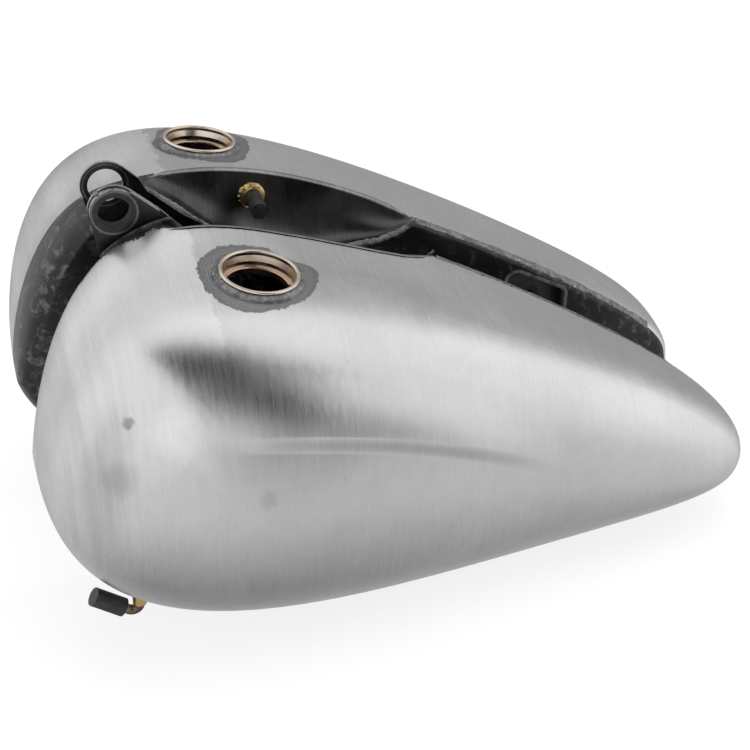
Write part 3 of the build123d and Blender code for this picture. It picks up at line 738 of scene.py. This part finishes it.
# ---------------------------------------------------------------- light, floor and camera
def area_light(name, spot, target, size, power, colour=(1, 1, 1)):
    data = bpy.data.lights.new(name, "AREA")
    data.shape = "RECTANGLE"
    data.size, data.size_y = size
    data.energy = power
    data.color = colour
    light = bpy.data.objects.new(name, data)
    light.location = spot
    light.rotation_euler = (Vector(target) - Vector(spot)).to_track_quat("-Z", "Y").to_euler()
    bpy.context.scene.collection.objects.link(light)
    return light


# The world's light against the sine of the height, squeezed into 0..1
WORLD_STEPS = [(0.0, 0.2), (0.03, 0.27), (0.1, 0.36), (0.2, 0.45), (0.3, 0.53), (0.42, 0.62),
               (0.5, 0.68), (0.6, 0.74), (0.85, 0.76)]
WORLD_STRENGTH = 1.6
FRONT_GAP_TURN = math.radians(17)
FRONT_GAP_LIGHT = 0.03
# Smaller gaps: azimuth and height, inner and outer reach in degrees, and the light let through
GAPS = [(162, 5, 24, 62, 0.42), (-72, -5, 8, 40, 0.8), (28, -4, 6, 21, 0.4)]


def studio():
    """World light: bright above, dim below, with a tall dark gap in front and smaller ones round it."""
    world = bpy.data.worlds.new("studio")
    bpy.context.scene.world = world
    world.use_nodes = True
    tree = world.node_tree

    def node(kind, *inputs, **settings):
        made = tree.nodes.new(kind)
        for key, value in settings.items():
            setattr(made, key, value)
        for socket, value in zip(made.inputs, inputs):
            if isinstance(value, bpy.types.NodeSocket):
                tree.links.new(value, socket)
            else:
                socket.default_value = value
        return made

    def gap(azimuth, height, inner, outer, share):
        """Light let through: share in the middle of a gap, all of it outside."""
        a, e = math.radians(azimuth), math.radians(height)
        axis = (math.sin(a) * math.cos(e), -math.cos(a) * math.cos(e), math.sin(e))
        dot = node("ShaderNodeVectorMath", way, axis, operation="DOT_PRODUCT").outputs["Value"]
        made = node("ShaderNodeMapRange", dot, math.cos(math.radians(outer)),
                    math.cos(math.radians(inner)), 1.0, share, interpolation_type="SMOOTHSTEP")
        return made.outputs[0]

    way = node("ShaderNodeTexCoord").outputs["Generated"]
    rise = node("ShaderNodeSeparateXYZ", way).outputs["Z"]
    ramp = node("ShaderNodeValToRGB", node("ShaderNodeMapRange", rise, -1.0, 1.0, 0.0, 1.0).outputs[0])
    elements = ramp.color_ramp.elements
    while len(elements) < len(WORLD_STEPS):
        elements.new(0.5)
    for element, (where, value) in zip(elements, WORLD_STEPS):
        element.position = where
        element.color = (value, value, value, 1)

    def lit(value, dark_to, lit_from):
        """0 up to one value, 1 from the other on."""
        made = node("ShaderNodeMapRange", value, dark_to, lit_from, 0.0, 1.0,
                    interpolation_type="SMOOTHSTEP")
        return made.outputs[0]

    def facing(axis):
        return node("ShaderNodeVectorMath", way, axis, operation="DOT_PRODUCT").outputs["Value"]

    # The gap in front is a tall one, from the level up to overhead
    sine, cosine = math.sin(FRONT_GAP_TURN), math.cos(FRONT_GAP_TURN)
    front = lit(facing((cosine - 0.5 * sine, sine + 0.5 * cosine, 0)), -0.24, 0.08)
    for other in (lit(facing((cosine, sine, 0.45)), 0.0, -0.16), lit(rise, 0.2, 0.0)):
        front = node("ShaderNodeMath", front, other, operation="MAXIMUM").outputs[0]
    front = node("ShaderNodeMath", front, 1 - FRONT_GAP_LIGHT, FRONT_GAP_LIGHT,
                 operation="MULTIPLY_ADD").outputs[0]
    light = WORLD_STRENGTH
    for dark in (front, *(gap(*place) for place in GAPS)):
        light = node("ShaderNodeMath", dark, light, operation="MULTIPLY").outputs[0]
    background = tree.nodes["Background"]
    tree.links.new(ramp.outputs[0], background.inputs["Color"])
    tree.links.new(light, background.inputs["Strength"])
    # Where the floor ends, the camera sees plain paper
    plain = node("ShaderNodeBackground", (1, 1, 1, 1), 1.0)
    seen = node("ShaderNodeLightPath").outputs["Is Camera Ray"]
    both = node("ShaderNodeMixShader", seen, background.outputs[0], plain.outputs[0])
    tree.links.new(both.outputs[0], tree.nodes["World Output"].inputs["Surface"])


studio()
# A soft light overhead, which the steel does not mirror
area_light("overhead", (0.1, -0.3, 2.2), (0, 0, 0.1), (2.2, 1.6), 12).visible_glossy = False

FLOOR_REACH = 12
floor_corners = [(x * FLOOR_REACH, y * FLOOR_REACH, 0) for x, y in ((-1, -1), (1, -1), (1, 1), (-1, 1))]
floor_mesh = bpy.data.meshes.new("floor")
floor_mesh.from_pydata(floor_corners, [], [(0, 1, 2, 3)])
floor = bpy.data.objects.new("floor", floor_mesh)
bpy.context.scene.collection.objects.link(floor)
paper = Shade("paper")
floor_mesh.materials.append(paper.finish(
    base_color=paper.mix(paper.noise(3, 2), (0.31, 0.31, 0.31), (0.33, 0.33, 0.33)), roughness=0.9,
    emission_color=(1.0, 1.0, 1.0), emission_strength=0.75))
floor.visible_glossy = False

AZIMUTH = math.radians(-15.415)
ELEVATION = math.radians(32.704)
DISTANCE = 1.5431
TARGET = Vector((0.0, 0.0, 0.117))
back = Vector((math.sin(AZIMUTH) * math.cos(ELEVATION), -math.cos(AZIMUTH) * math.cos(ELEVATION),
               math.sin(ELEVATION)))
camera_data = bpy.data.cameras.new("camera")
camera_data.sensor_width = 36.0
camera_data.lens = 88.5
camera = bpy.data.objects.new("camera", camera_data)
camera.location = TARGET + back * DISTANCE
camera.rotation_euler = (-back).to_track_quat("-Z", "Y").to_euler()
bpy.context.scene.collection.objects.link(camera)
bpy.context.scene.camera = camera
bpy.context.scene.view_settings.view_transform = "Standard"
